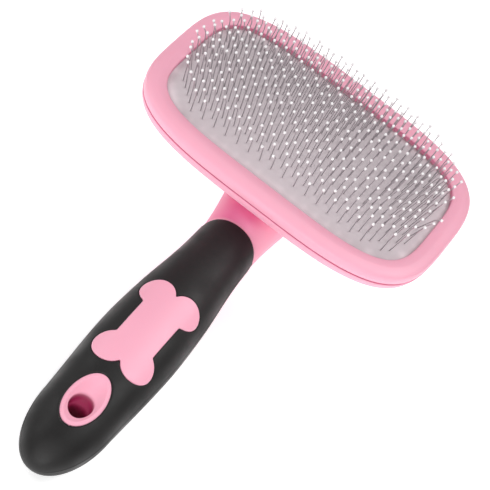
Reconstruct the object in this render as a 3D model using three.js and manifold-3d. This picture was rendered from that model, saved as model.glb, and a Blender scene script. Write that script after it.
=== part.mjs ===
// Pet slicker brush: a cushioned pad of kneed wire pins in a two-part moulded head, on a soft-grip handle.
// Millimetres. X runs across the handle, Y from the handle to the head, Z is the way the pins point.
// Inside the model z = 0 is just above the head's widest outline; the last lines stand the brush on z = 0.
import * as THREE from 'three';
import { ParametricGeometry } from 'three/addons/geometries/ParametricGeometry.js';
import { mergeVertices } from 'three/addons/utils/BufferGeometryUtils.js';
import Module from 'manifold-3d';

const wasm = await Module();
wasm.setup();

// ---------- driving sizes ----------
const gap = 0.3; // clearance between neighbouring mouldings

// head outline and rim
const headHalfLength = 55;
const headHalfWidth = 37.1;
const headRoundness = 3.58; // exponent of the rounded-rectangle outline
const rimWidthAtEnds = 6.9;
const rimWidthAtSides = 7.9;
const windowRoundness = 4.3;
const outlineDrop = 0.95; // widest outline below the model's zero
const rimCrest = 1.6; // top of the rim
const crestPlace = 0.42; // share of the rim's width where the crest runs
const lipRise = 1.1; // inner edge of the rim
const lipThickness = 1.8;
const seamDrop = 2.9; // parting line
const seamInset = 0.2;
const spigotDepth = 2.2; // rim's locating wall below the parting line
const spigotWall = 1.5;

// back shell
const trayWall = 2.3;
const backDepth = 14; // flat back panel
const backWall = 2.4;
const trayFloorInset = 17; // the tray's floor lies this far inside the widest outline

// cushion pad, from its clamped edge
const padThickness = 1.8;
const padCrown = 6.15;
const crownMargin = 1.2; // flat border of the pad inside the window
const backingThickness = 0.8;

// wire pins
const pinPitch = 4.47; // along a row
const rowCount = 22;
const fieldMarginAtEnds = 2.5;
const fieldMarginNearHandle = 6.5;
const fieldMarginFar = 3.8;
const fieldRoundness = 4.2;
const staggerStart = 0.34; // share of a pitch by which the even rows are moved from the middle
const wireRadius = 0.2;
const shankHeight = 8.3;
const tipLength = 4.25;
const kneeAngle = THREE.MathUtils.degToRad(25);
const crownStripWidth = 1.6;
const crownStripThickness = 0.5;
const slotWidth = 1.4;

// handle, in its own frame: its origin is the middle of the grip's collar, its Y runs along the grip
const collarY = -36.6; // collar's middle in the head's frame
const collarZ = -25.6;
const handleTilt = 8.5; // degrees that the handle falls away from the head
const buttStartY = -79;
const buttLength = 22.6;
const collarLean = 20; // degrees that the collar's upper edge reaches towards the head
const collarFade = 16; // the lean dies out over this length of the grip
const gripRoundness = 2.15;
const gripWall = 2.6;
const gripProud = 0.4; // grip stands above the neck by this much
const gripEndRadius = 1.2;

// bone-shaped inlay and hanging eyelet
const boneY = -47;
const boneLobeRadius = 5.4;
const boneLobeX = 5;
const boneLobeY = 12.2;
const boneWaist = 6.8; // half width of the bone's shaft
const boneProud = 0.3;
const bonePegRadius = 1.5;
const bonePegLength = 4;
const bonePegSpacing = 18;
const holeY = -81.3;
const holeTop = 7; // height on the handle at which the upright hole's axis passes holeY
const holeRadius = 3.3;
const eyeletWall = 1.9;
const eyeletSink = 0.15; // the eyelet's ends lie this far inside the grip's surface
const dishAhead = 2.95; // the oval dish's middle lies this far ahead of the hole
const dishMargin = 0.7; // the dish is this much wider than the eyelet's tube on either side
const dishHalfLength = 9.6;
const dishDepth = 3;

// ---------- sizes that follow ----------
const windowHalfLength = headHalfLength - rimWidthAtEnds;
const windowHalfWidth = headHalfWidth - rimWidthAtSides;
const spigotInset = seamInset + trayWall + gap;
const padInset = spigotInset + spigotWall + gap;
const lipUnder = lipRise - lipThickness;
const padEdgeTop = lipUnder - gap;
const padBottom = padEdgeTop - padThickness;
const stripTop = padBottom - gap;
const stripBottom = stripTop - crownStripThickness;
const backingTop = stripBottom - gap;
const backingBottom = backingTop - backingThickness;
const foamTop = backingBottom - gap;
const trayFloor = -backDepth + backWall;
const foamBottom = trayFloor + gap;
const crownHalfLength = windowHalfLength - crownMargin;
const crownHalfWidth = windowHalfWidth - crownMargin;
const firstRowY = -windowHalfWidth + fieldMarginNearHandle;
const fieldHalfLength = windowHalfLength - fieldMarginAtEnds;
const fieldHalfWidth = windowHalfWidth - (fieldMarginNearHandle + fieldMarginFar) / 2;
const rowPitch = (2 * fieldHalfWidth) / (rowCount - 1);
const fieldY = firstRowY + fieldHalfWidth;
const buttY = buttStartY - buttLength;
const eyeletRadius = holeRadius + eyeletWall;
const dishHalfWidth = eyeletRadius + dishMargin;
const dishY = holeY + dishAhead;
const tiltAngle = THREE.MathUtils.degToRad(handleTilt);
const holeAxisY = collarY + holeY * Math.cos(tiltAngle) - holeTop * Math.sin(tiltAngle);

// The handle's midline height, half width and half height along its own Y, as [y, value] keys.
const midlineKeys = [[buttY, -1.1], [-76, -1], [-48, -0.3], [-22, -0.7], [0, 0]];
const halfWidthKeys = [[buttStartY, 12.5], [-50, 13.75], [-30, 12.8], [-11, 10.7], [0, 10.1]];
const halfHeightKeys = [[buttStartY, 9.6], [-50, 11.1], [-28, 11], [0, 10]];

// The neck's middle height, half width, half height and tilt in degrees along the head's Y.
const neckMidlineKeys = [[collarY, collarZ], [-27, -21], [-12, -14.8], [16, -10.6]];
const neckHalfWidthKeys = [[collarY, 9.8], [-30, 10.5], [-22, 12], [-8, 14.5], [16, 18]];
const neckHalfHeightKeys = [[collarY, 9.6], [-27, 8.8], [-12, 5.8], [16, 2.9]];
const neckTiltKeys = [[collarY, handleTilt - collarLean], [-27, 20], [-12, 22], [16, 6]];

const ringPoints = 48; // points round a head outline
const padPoints = 32; // points round the pad
const handlePoints = 24; // points round a handle section

// ---------- materials ----------
const plastic = (color, roughness) => new THREE.MeshStandardMaterial({ color, roughness, metalness: 0 });
const pinkPlastic = plastic(0xf4b0c1, 0.42);
const blackRubber = plastic(0x2d2929, 0.7);
const greyRubber = plastic(0xc9bcbf, 0.75);
const clothBacking = plastic(0xb9b4b0, 0.95);
const foam = plastic(0xe6e2d8, 1);
const steelWire = new THREE.MeshStandardMaterial({ color: 0x8d8a8c, roughness: 0.3, metalness: 1 });

// ---------- solids ----------
const brush = new THREE.Group();

// A closed three.js geometry as a solid: shared corners merged, flat triangles dropped, faces outward.
function solidOf(geometry) {
  geometry.deleteAttribute('normal');
  geometry.deleteAttribute('uv');
  const merged = mergeVertices(geometry, 1e-4);
  const place = merged.getAttribute('position');
  const corner = (index) => new THREE.Vector3().fromBufferAttribute(place, index);
  const triangles = [];
  let volume = 0;
  for (let i = 0; i < merged.index.count; i += 3) {
    const [a, b, c] = [0, 1, 2].map((step) => merged.index.getX(i + step));
    if (a !== b && b !== c && c !== a) {
      triangles.push([a, b, c]);
      volume += corner(a).dot(corner(b).cross(corner(c)));
    }
  }
  const outward = volume > 0 ? triangles : triangles.map(([a, b, c]) => [a, c, b]);
  return new wasm.Manifold(new wasm.Mesh({
    numProp: 3,
    vertProperties: new Float32Array(place.array),
    triVerts: new Uint32Array(outward.flat()),
  }));
}

// Names a finished solid, gives it its material and adds it to the brush.
function addPiece(name, solid, material) {
  const { vertProperties, triVerts } = solid.getMesh();
  const geometry = new THREE.BufferGeometry();
  geometry.setAttribute('position', new THREE.BufferAttribute(vertProperties, 3));
  geometry.setIndex(new THREE.BufferAttribute(triVerts, 1));
  geometry.computeVertexNormals();
  const piece = new THREE.Mesh(geometry, material);
  piece.name = name;
  brush.add(piece);
}

// A skin drawn through rings of equal point counts: capped at both ends, or closed on itself.
function skin(rings, closedOnItself = false) {
  const around = rings[0].length;
  const pole = (ring) => {
    const middle = ring.reduce((sum, point) => sum.add(point), new THREE.Vector3()).divideScalar(around);
    return ring.map(() => middle);
  };
  const rows = closedOnItself ? [...rings, rings[0]] : [pole(rings[0]), ...rings, pole(rings.at(-1))];
  const surface = (u, v, target) => {
    const ring = rows[Math.round(v * (rows.length - 1))];
    target.copy(ring[Math.round(u * around) % around]);
  };
  return solidOf(new ParametricGeometry(surface, around, rows.length - 1));
}

// A flat outline, drawn in X and Y, raised from one height to another.
function prism(shape, bottom, top, curveSegments = 12) {
  const geometry = new THREE.ExtrudeGeometry(shape, { depth: top - bottom, bevelEnabled: false, curveSegments });
  return solidOf(geometry.translate(0, 0, bottom));
}

function uprightCylinder(radius, x, y, bottom, top, segments = 32) {
  const geometry = new THREE.CylinderGeometry(radius, radius, top - bottom, segments);
  geometry.rotateX(Math.PI / 2);
  return solidOf(geometry.translate(x, y, (bottom + top) / 2));
}

function box(halfX, halfY, bottom, top, x = 0, y = 0) {
  const geometry = new THREE.BoxGeometry(2 * halfX, 2 * halfY, top - bottom);
  return solidOf(geometry.translate(x, y, (bottom + top) / 2));
}

// ---------- outlines ----------
// Points of |x / halfX|^n + |y / halfY|^n = 1, crowded into the corners where it bends.
function roundedOutline(halfX, halfY, roundness, count) {
  return Array.from({ length: count }, (_, index) => {
    const angle = (2 * Math.PI * index) / count;
    const along = Math.abs(Math.cos(angle)) < 1e-9 ? 0 : Math.cos(angle);
    const across = Math.abs(Math.sin(angle)) < 1e-9 ? 0 : Math.sin(angle);
    const x = halfX * Math.sign(along) * Math.abs(along) ** (2 / roundness);
    const y = halfY * Math.sign(across) * Math.abs(across) ** (2 / roundness);
    return new THREE.Vector2(x, y);
  });
}

function headRing(inset, z) {
  const outline = roundedOutline(headHalfLength - inset, headHalfWidth - inset, headRoundness, ringPoints);
  return outline.map(({ x, y }) => new THREE.Vector3(x, y, z));
}

function windowRing(z) {
  const outline = roundedOutline(windowHalfLength, windowHalfWidth, windowRoundness, ringPoints);
  return outline.map(({ x, y }) => new THREE.Vector3(x, y, z));
}

// A ring on the rim's top: share 0 is the head's outline, 1 is the window's edge.
function rimRing(share, z) {
  const inner = windowRing(0);
  return headRing(0, z).map((point, index) => point.lerp(inner[index].setZ(z), share));
}

// Value at y of a smooth curve through [y, value] keys in rising y, level at neither end.
function along(keys, y) {
  const last = keys.length - 1;
  const slope = (index) => {
    const [before, after] = [keys[Math.max(index - 1, 0)], keys[Math.min(index + 1, last)]];
    return (after[1] - before[1]) / (after[0] - before[0]);
  };
  const found = keys.findIndex(([place]) => place > y) - 1;
  const index = found < 0 ? (y < keys[0][0] ? 0 : last - 1) : found;
  const [[y0, v0], [y1, v1]] = [keys[index], keys[index + 1]];
  const span = y1 - y0;
  const t = Math.min(Math.max((y - y0) / span, 0), 1);
  const rise = v0 * (1 + 2 * t) * (1 - t) ** 2 + v1 * (3 - 2 * t) * t ** 2;
  return rise + span * (slope(index) * t * (1 - t) ** 2 + slope(index + 1) * (t - 1) * t ** 2);
}

// ---------- head ----------
// Height of the rim's top at a share of its width: a quarter ellipse up, then a quarter cosine down.
function rimHeight(share) {
  if (share < crestPlace) {
    const climb = rimCrest + outlineDrop;
    return climb * Math.sqrt(1 - ((crestPlace - share) / crestPlace) ** 2) - outlineDrop;
  }
  const fall = (share - crestPlace) / (1 - crestPlace);
  return lipRise + (rimCrest - lipRise) * Math.cos((Math.PI / 2) * fall);
}

function frontBezel() {
  const seamTop = -seamDrop + gap / 2;
  const spigotBottom = -seamDrop - spigotDepth;
  const crestShares = [0.03, 0.12, 0.25, crestPlace, 0.62, 0.82, 0.94];
  return skin([
    headRing(seamInset, seamTop),
    headRing(0, -outlineDrop),
    ...crestShares.map((share) => rimRing(share, rimHeight(share))),
    windowRing(lipRise),
    windowRing(lipUnder),
    headRing(spigotInset + spigotWall, lipUnder),
    headRing(spigotInset + spigotWall, spigotBottom),
    headRing(spigotInset, spigotBottom),
    headRing(spigotInset, seamTop),
  ], true);
}

// A rounded section round a centre, its plane leaning back by a tilt in degrees.
function sectionRing(y, centreZ, halfWidth, halfHeight, tilt = 0) {
  const outline = roundedOutline(halfWidth, halfHeight, gripRoundness, handlePoints);
  const lean = Math.tan(THREE.MathUtils.degToRad(tilt));
  return outline.map((point) => new THREE.Vector3(point.x, y - point.y * lean, centreZ + point.y));
}

// The neck: it leaves the grip's collar, climbs to the head and fades into the back panel.
function neck() {
  const stations = [collarY + gap, -33, -28, -21, -14, -6, 4, 14];
  return skin(stations.map((y) => sectionRing(
    y,
    along(neckMidlineKeys, y),
    along(neckHalfWidthKeys, y),
    along(neckHalfHeightKeys, y),
    along(neckTiltKeys, y),
  )));
}

// A solid drawn in the handle's own frame, put where the handle is.
function onHandle(solid) {
  return solid.rotate([handleTilt, 0, 0]).translate([0, collarY, collarZ]);
}

// The handle's outer form, grown or shrunk by an offset, from its collar to the end of its round butt.
function handleForm(offset, frontY) {
  const straight = 7;
  const round = [0, 24, 46, 64, 80];
  const stations = [];
  for (let index = 0; index < straight; index += 1) {
    stations.push(frontY + ((buttStartY - frontY) * index) / straight);
  }
  round.forEach((degrees) => {
    stations.push(buttStartY - (buttLength + offset) * Math.sin(THREE.MathUtils.degToRad(degrees)));
  });
  return stations.map((y) => {
    const into = Math.min(Math.max((buttStartY - y) / (buttLength + offset), 0), 1);
    const taper = Math.sqrt(1 - into ** 2);
    const width = (along(halfWidthKeys, y) + offset) * taper;
    const height = (along(halfHeightKeys, y) + offset) * taper;
    const lean = -collarLean * Math.min(Math.max(1 + y / collarFade, 0), 1);
    return sectionRing(y, along(midlineKeys, y), width, height, lean);
  });
}

function trayForm() {
  return skin([
    headRing(seamInset, -seamDrop - gap / 2),
    headRing(seamInset + 0.25, -4.6),
    headRing(seamInset + 0.95, -6.2),
    headRing(2.9, -7.8),
    headRing(5.6, -9.6),
    headRing(9.5, -11.6),
    headRing(14.5, -13.3),
    headRing(20, -backDepth),
  ]);
}

function trayHollow() {
  const wallInset = seamInset + trayWall;
  return skin([
    headRing(wallInset, 1),
    headRing(wallInset, -seamDrop - spigotDepth - gap),
    headRing(wallInset + 1.9, -7.2),
    headRing(9, -9.5),
    headRing(13.5, -11.2),
    headRing(trayFloorInset, trayFloor),
  ]);
}

// The foam block under the pad, its sides drawn in towards the tray's floor.
function foamCushion() {
  return skin([
    headRing(trayFloorInset + gap, foamBottom),
    headRing(padInset + gap, foamTop),
  ]);
}

function backShell(eyeletRoom, pegRoom) {
  const tang = onHandle(skin(handleForm(-gripWall - gap, 3)));
  return trayForm().add(neck()).add(tang).subtract(trayHollow()).subtract(eyeletRoom).subtract(pegRoom);
}

// ---------- pad ----------
// Height of the pad's crowned top: a flat border, then a swell that is a parabola both ways.
function padTop(x, y) {
  const acrossSwell = Math.max(0, 1 - (x / crownHalfLength) ** 2);
  const alongSwell = Math.max(0, 1 - (y / crownHalfWidth) ** 2);
  return padEdgeTop + padCrown * acrossSwell * alongSwell;
}

function padEdge(z) {
  const outline = roundedOutline(headHalfLength - padInset, headHalfWidth - padInset, headRoundness, padPoints);
  return outline.map(({ x, y }) => new THREE.Vector3(x, y, z));
}

// A ring of the pad's top at a share of its visible part, at the swell's height unless one is given.
function crownRing(share, z = null) {
  const halfLength = (windowHalfLength - crownMargin / 2) * share;
  const halfWidth = (windowHalfWidth - crownMargin / 2) * share;
  const outline = roundedOutline(halfLength, halfWidth, windowRoundness, padPoints);
  return outline.map(({ x, y }) => new THREE.Vector3(x, y, z ?? padTop(x, y)));
}

function padFace() {
  const shares = [0.91, 0.74, 0.48, 0.24];
  const top = [crownRing(1, padEdgeTop), ...shares.map((share) => crownRing(share))];
  let face = skin([padEdge(padBottom), padEdge(padEdgeTop), ...top]);
  pinRows.forEach(({ xs, y }) => {
    const slotHalf = (xs.at(-1) - xs[0]) / 2 + crownStripWidth;
    const slotX = (xs.at(-1) + xs[0]) / 2;
    face = face.subtract(box(slotHalf, slotWidth / 2, padBottom - 1, padCrown + 1, slotX, y));
  });
  return face;
}

// The pins stand in staggered rows inside a rounded field.
const pinRows = Array.from({ length: rowCount }, (_, row) => {
  const y = firstRowY + row * rowPitch;
  const reach = Math.abs((y - fieldY) / (fieldHalfWidth + rowPitch)) ** fieldRoundness;
  const halfReach = fieldHalfLength * (1 - reach) ** (1 / fieldRoundness);
  const shift = staggerStart + (row % 2) / 2;
  const xs = [];
  for (let step = -20; step <= 20; step += 1) {
    const x = (step + shift) * pinPitch;
    if (Math.abs(x) <= halfReach) {
      xs.push(x);
    }
  }
  return { xs, y };
});

// Three points of the wire's section round a centre, level in Z.
function wireRing(centre) {
  return [90, 210, 330].map((degrees) => {
    const angle = THREE.MathUtils.degToRad(degrees);
    return new THREE.Vector3(
      centre.x + wireRadius * Math.cos(angle),
      centre.y + wireRadius * Math.sin(angle),
      centre.z,
    );
  });
}

// One kneed wire: it comes up through its slot, stands square to the pad's swell, and its tip bends
// back towards the handle.
function pin(x, y) {
  const step = 0.01;
  const surface = new THREE.Vector3(x, y, padTop(x, y));
  const square = new THREE.Vector3(
    (padTop(x - step, y) - padTop(x + step, y)) / (2 * step),
    (padTop(x, y - step) - padTop(x, y + step)) / (2 * step),
    1,
  ).normalize();
  const foot = new THREE.Vector3(x, y, stripTop - 0.2);
  const knee = surface.clone().addScaledVector(square, shankHeight);
  const bent = square.clone().applyAxisAngle(new THREE.Vector3(1, 0, 0), kneeAngle);
  const tip = knee.clone().addScaledVector(bent, tipLength);
  return skin([wireRing(foot), wireRing(surface), wireRing(knee), wireRing(tip)]);
}

// A row of wires on the strip that stands for their crowns under the pad.
function pinRow({ xs, y }) {
  const half = (xs.at(-1) - xs[0]) / 2 + crownStripWidth / 2;
  const middle = (xs.at(-1) + xs[0]) / 2;
  const strip = box(half, crownStripWidth / 2, stripBottom, stripTop, middle, y);
  return xs.reduce((row, x) => row.add(pin(x, y)), strip);
}

// ---------- handle trim ----------
// A bone: four round lobes joined by a straight shaft, grown by an offset.
function boneForm(offset) {
  const lobe = boneLobeRadius + offset;
  const [bottom, top] = [-20, 20];
  let bone = box(boneWaist + offset, boneLobeY, bottom, top, 0, boneY);
  for (const sideX of [-1, 1]) {
    for (const sideY of [-1, 1]) {
      bone = bone.add(uprightCylinder(lobe, sideX * boneLobeX, boneY + sideY * boneLobeY, bottom, top));
    }
  }
  return bone.subtract(box(30, 40, bottom - 1, along(midlineKeys, boneY), 0, boneY));
}

function bonePegs(radius, length) {
  const surface = along(midlineKeys, boneY) + along(halfHeightKeys, boneY) - gripWall;
  const peg = (side) => uprightCylinder(
    radius, 0, boneY + (side * bonePegSpacing) / 2, surface - length, surface + 1, 16,
  );
  return peg(-1).add(peg(1));
}

function boneInlay() {
  const body = boneForm(0).intersect(skin(handleForm(boneProud, 0)));
  const inlay = body.subtract(skin(handleForm(-gripWall, 0))).add(bonePegs(bonePegRadius, bonePegLength));
  return onHandle(inlay);
}

// The eyelet's room: an oval dish block over an upright tube that runs right through the handle.
function eyeletForm(offset) {
  const floor = along(midlineKeys, holeY) + along(halfHeightKeys, holeY) - gripWall - dishDepth;
  const oval = new THREE.Shape();
  oval.absellipse(0, dishY, dishHalfWidth + offset, dishHalfLength + offset, 0, 2 * Math.PI, false);
  const block = onHandle(prism(oval, floor - offset, 20, 20));
  const tubeTop = collarZ + holeY * Math.sin(tiltAngle) + (floor + 1.5) * Math.cos(tiltAngle);
  return block.add(uprightCylinder(eyeletRadius + offset, 0, holeAxisY, -60, tubeTop, 32));
}

function hangEyelet() {
  const top = along(midlineKeys, holeY) + along(halfHeightKeys, holeY);
  const scoop = new THREE.SphereGeometry(1, 24, 16);
  scoop.scale(dishHalfWidth - 0.8, dishHalfLength - 0.8, dishDepth);
  scoop.translate(0, dishY, top + 0.4);
  const body = eyeletForm(0).intersect(onHandle(skin(handleForm(-eyeletSink, -gripEndRadius))));
  const hole = uprightCylinder(holeRadius, 0, holeAxisY, -60, 0, 32);
  return body.subtract(hole).subtract(onHandle(solidOf(scoop)));
}

function gripSleeve() {
  const outer = skin([
    ...handleForm(-gripProud, 0).slice(0, 1),
    ...handleForm(0, -gripEndRadius),
  ]);
  const hollow = skin(handleForm(-gripWall, 1));
  return onHandle(outer.subtract(hollow).subtract(boneForm(gap))).subtract(eyeletForm(gap));
}

// ---------- assembly ----------
addPiece('front_bezel', frontBezel(), pinkPlastic);
const pegRoom = bonePegs(bonePegRadius + gap, bonePegLength + gap);
addPiece('back_shell', backShell(eyeletForm(gap), onHandle(pegRoom)), pinkPlastic);
addPiece('grip_sleeve', gripSleeve(), blackRubber);
addPiece('bone_inlay', boneInlay(), pinkPlastic);
addPiece('hang_eyelet', hangEyelet(), pinkPlastic);
addPiece('pad_face', padFace(), greyRubber);
addPiece('pad_backing', skin([padEdge(backingBottom), padEdge(backingTop)]), clothBacking);
addPiece('foam_cushion', foamCushion(), foam);
pinRows.forEach((row, index) => {
  addPiece(`pin_row_${String(index + 1).padStart(2, '0')}`, pinRow(row), steelWire);
});

const size = new THREE.Box3().setFromObject(brush);
brush.position.set(0, -(size.min.y + size.max.y) / 2, -size.min.z);

export default brush;
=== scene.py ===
"""Looks of a pet slicker brush: cushioned pin pad, pink head, soft black grip with a bone inlay.

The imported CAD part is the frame. Each class below builds one visible sub-assembly round it as a
fine mesh, with numpy arrays in millimetres in the head's own frame: X across the handle, Y from the
handle to the head, Z the way the pins point, zero just above the head's widest outline. The grip has
a frame of its own that starts in the collar's middle and falls away from the head.
"""

import logging
import math
from collections.abc import Sequence
from dataclasses import dataclass, field
from enum import Enum
from typing import Any

import bpy
import numpy as np
from mathutils import Matrix, Vector


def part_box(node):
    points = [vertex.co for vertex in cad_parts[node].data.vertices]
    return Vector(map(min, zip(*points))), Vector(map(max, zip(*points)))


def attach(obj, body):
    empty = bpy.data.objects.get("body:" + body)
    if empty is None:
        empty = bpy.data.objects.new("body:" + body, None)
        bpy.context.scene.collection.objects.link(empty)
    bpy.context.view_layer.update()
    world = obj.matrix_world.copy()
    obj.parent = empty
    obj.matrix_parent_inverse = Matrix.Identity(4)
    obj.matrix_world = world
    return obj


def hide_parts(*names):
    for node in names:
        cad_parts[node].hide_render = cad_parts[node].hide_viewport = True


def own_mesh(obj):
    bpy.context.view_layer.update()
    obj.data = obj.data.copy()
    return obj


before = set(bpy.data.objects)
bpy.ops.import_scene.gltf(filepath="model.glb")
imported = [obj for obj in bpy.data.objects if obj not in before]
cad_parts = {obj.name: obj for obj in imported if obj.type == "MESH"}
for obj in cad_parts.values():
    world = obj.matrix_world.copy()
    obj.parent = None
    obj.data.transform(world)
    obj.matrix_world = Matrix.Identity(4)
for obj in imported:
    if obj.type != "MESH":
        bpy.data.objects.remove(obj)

LOG = logging.getLogger("brush")
MM = 0.001
TINY = 1e-9
SMALL = 1e-6

Array = np.ndarray
Keys = Sequence[tuple[float, float]]
Span = tuple[float, float]
Tree = bpy.types.NodeTree
Socket = bpy.types.NodeSocket


class Body(str, Enum):
    """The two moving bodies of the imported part."""

    HANDLE = "handle_and_head"
    PAD = "pad"


# ---- Sizes, in millimetres ----


@dataclass(frozen=True)
class HeadSize:
    """The moulded head: rounded-rectangle outline, rim, window and tray.

    Tray profiles are (inset from the outline, height) pairs. The edges at the seam have heights
    counted from their own side of the seam.
    """

    half_length: float = 55.0
    half_width: float = 37.1
    roundness: float = 3.58
    window_half_length: float = 48.1
    window_half_width: float = 29.2
    window_roundness: float = 4.3
    outline_z: float = -0.95
    crest_z: float = 1.6
    crest_place: float = 0.52
    rim_squareness: float = 2.5
    rim_chamfer: float = 0.36
    chamfer_foot: float = 0.04
    chamfer_foot_rise: float = 0.42
    rim_side: Span = (0.04, -1.5)
    rim_edge: Keys = ((0.5, 0.0), (0.28, 0.08), (0.2, 0.3))
    fall_end: float = 0.955
    lip_z: float = 1.1
    lip_edge: float = 0.35
    lip_under_z: float = -0.7
    # Painted shade on the lip's last turns into the window.
    lip_painted_shade: tuple[float, ...] = (0.2, 0.5, 0.8)
    clamp_inset: float = 4.3
    skirt_inset: float = 2.8
    skirt_z: float = -5.1
    seam_z: float = -2.9
    seam_gap: float = 0.36
    # Painted shade on the rings at the seam.
    seam_painted_shade: Span = (0.3, 0.6)
    tray_edge: Keys = ((0.42, 0.0), (0.24, -0.06), (0.2, -0.3))
    tray_outside: Keys = (
        (0.32, -4.0), (0.5, -4.8), (0.8, -5.6), (1.25, -6.3), (1.95, -7.05), (2.9, -7.8),
        (4.1, -8.65), (5.6, -9.6), (7.4, -10.65), (9.5, -11.6), (12.0, -12.55), (14.5, -13.25),
        (17.2, -13.75), (20.0, -14.0), (26.0, -14.0), (32.0, -14.0),
    )
    tray_inside: Keys = (
        (30.0, -11.6), (17.0, -11.6), (13.5, -11.2), (9.0, -9.5), (4.4, -7.2), (2.5, -5.4),
    )
    tray_wall: float = 2.5
    climb_rings: int = 17
    fall_rings: int = 15
    points: int = 288


@dataclass(frozen=True)
class PadSize:
    """The crowned rubber pad, clamped under the rim's lip, and the foam block below it."""

    inset: float = 4.6
    edge_z: float = -1.0
    thickness: float = 1.8
    crown: float = 6.15
    crown_half_length: float = 46.9
    crown_half_width: float = 28.0
    dimple_depth: float = 0.16
    dimple_radius: float = 0.5
    # Painted shade in each pin's dimple and over the pin field.
    dimple_painted_shade: float = 0.2
    field_painted_shade: float = 0.8
    field_fade: Span = (2.2, 5.5)
    ring_spread: float = 0.9
    last_ring: float = 0.012
    floor_ring: float = 0.02
    rings: int = 92
    points: int = 480
    foam_low_inset: float = 17.5
    foam_high_inset: float = 5.3
    foam_edge: float = 0.2
    foam_points: int = 160


@dataclass(frozen=True)
class PinSize:
    """The kneed wire pins and the beads on their tips; a spread is a standard deviation."""

    pitch: float = 4.47
    row_pitch: float = 2.2905
    row_count: int = 22
    half_columns: int = 20
    first_row_y: float = -22.7
    field_half_length: float = 45.6
    field_roundness: float = 4.2
    stagger_start: float = 0.34
    wire_radius: float = 0.165
    wire_sides: int = 6
    shank: float = 8.3
    shank_spread: float = 0.12
    tip: float = 4.25
    tip_spread: float = 0.1
    lean_spread: float = 0.018
    end_lean_spread: float = 0.05
    end_starts: Span = (0.86, 1.0)
    knee_degrees: float = 25.0
    knee_spread: float = 3.2
    side_spread: float = 4.5
    knee_length: float = 1.3
    bead_radius: float = 0.55
    bead_sides: int = 6
    sunk: float = 1.2


@dataclass(frozen=True)
class HandleSize:
    """The grip's frame and outer form, and the neck that leaves its collar."""

    collar_y: float = -36.6
    collar_z: float = -25.6
    tilt_degrees: float = 8.5
    butt_start: float = -79.0
    butt_length: float = 22.6
    collar_lean_degrees: float = 20.0
    collar_fade: float = 16.0
    collar_edge: float = 1.1
    roundness: float = 2.15
    ridge_angle: float = 0.2
    ridge_width: float = 0.008
    ridge_height: float = 0.13
    edge_rings: int = 9
    straight_rings: int = 299
    butt_rings: int = 64
    points: int = 256
    midline: Keys = ((-101.6, -1.1), (-76.0, -1.0), (-48.0, -0.3), (-22.0, -0.7), (0.0, 0.0))
    half_width: Keys = ((-79.0, 12.5), (-50.0, 13.75), (-30.0, 12.8), (-11.0, 10.7), (0.0, 10.1))
    half_height: Keys = ((-79.0, 9.6), (-50.0, 11.1), (-28.0, 11.0), (0.0, 10.0))
    neck_midline: Keys = ((-36.6, -25.6), (-27.0, -21.0), (-12.0, -14.8), (16.0, -10.6))
    neck_half_width: Keys = ((-36.6, 9.8), (-30.0, 10.5), (-22.0, 12.0), (-8.0, 14.5), (16.0, 18.0))
    neck_half_height: Keys = ((-36.6, 9.6), (-27.0, 8.8), (-12.0, 5.8), (16.0, 2.9))
    neck_tilt: Keys = ((-36.6, -11.5), (-27.0, 20.0), (-12.0, 22.0), (16.0, 6.0))
    neck_sunk: float = 1.5
    neck_start: float = 0.3
    neck_end_y: float = 15.5
    neck_rings: int = 72
    neck_points: int = 160
    # Where the painted shade lies on the neck's upper face, under the head.
    painted_shade_start: Span = (0.3, 1.4)
    painted_shade_right: Span = (0.5, 8.5)
    painted_shade_right_loss: float = 0.9
    painted_shade_left: Span = (-4.0, -10.0)
    painted_shade_left_loss: float = 0.45
    painted_shade_upper: Span = (-0.2, 0.35)


@dataclass(frozen=True)
class TrimSize:
    """The bone inlay and the hanging eyelet, on the grip's own frame."""

    bone_y: float = -47.0
    lobe_radius: float = 5.4
    lobe_x: float = 5.0
    lobe_y: float = 12.2
    waist: float = 6.8
    bone_proud: float = 0.16
    bone_edge: float = 0.3
    bone_depths: Span = (2.4, 1.0)
    bone_foot_inset: float = 0.01
    bone_points: int = 420
    bone_rings: int = 39
    corner_passes: int = 6
    spine_share: float = 0.75
    spine_reach: float = 9.0
    groove: float = 0.14
    step: Span = (-0.4, 0.08)
    bone_dip: float = 1.5
    eyelet_dip: float = 3.0
    open_inside: float = 0.45
    hole_y: float = -81.3
    hole_top: float = 7.0
    hole_radius: float = 3.3
    throat_depth: float = 3.2
    eyelet_radius: float = 5.2
    eyelet_sink: float = 0.15
    eyelet_edge: float = 0.35
    eyelet_foot: float = 3.0
    eyelet_points: int = 240
    border_depths: Span = (3.2, 1.0)
    dish_y: float = -78.0
    dish_half_width: float = 6.0
    dish_half_length: float = 9.75
    dish_border: float = 1.2
    dish_depth: float = 3.0
    dish_power: float = 1.1
    mouth_y: float = -79.9
    mouth_half_width: float = 3.7
    mouth_half_length: float = 4.4
    # Painted shade on the dish's last rings and the throat's first, before the hole's full shade.
    mouth_painted_shade: tuple[float, ...] = (0.1, 0.25, 0.45)
    throat_painted_shade: Span = (0.7, 0.9)


# ---- Curves and outlines ----


def along(keys: Keys, y: Array) -> Array:
    """Value at y of a smooth curve through keys, the same cubic as the CAD part's.

    Each span is a Hermite cubic whose end slopes are those between the keys on either side.

    Args:
        keys: (place, value) pairs in rising order.
        y: places to look up.

    Returns:
        The values, as an array of y's shape.
    """
    place, value = np.array(keys, float).T
    y = np.clip(np.asarray(y, float), place[0], place[-1])
    last = len(place) - 1
    before = np.maximum(np.arange(last + 1) - 1, 0)
    after = np.minimum(np.arange(last + 1) + 1, last)
    slope = (value[after] - value[before]) / (place[after] - place[before])
    i = np.clip(np.searchsorted(place, y, side="right") - 1, 0, last - 1)
    span = place[i + 1] - place[i]
    t = (y - place[i]) / span
    rise = value[i] * (1 + 2 * t) * (1 - t) ** 2 + value[i + 1] * (3 - 2 * t) * t**2
    return rise + span * (slope[i] * t * (1 - t) ** 2 + slope[i + 1] * (t - 1) * t**2)


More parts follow.
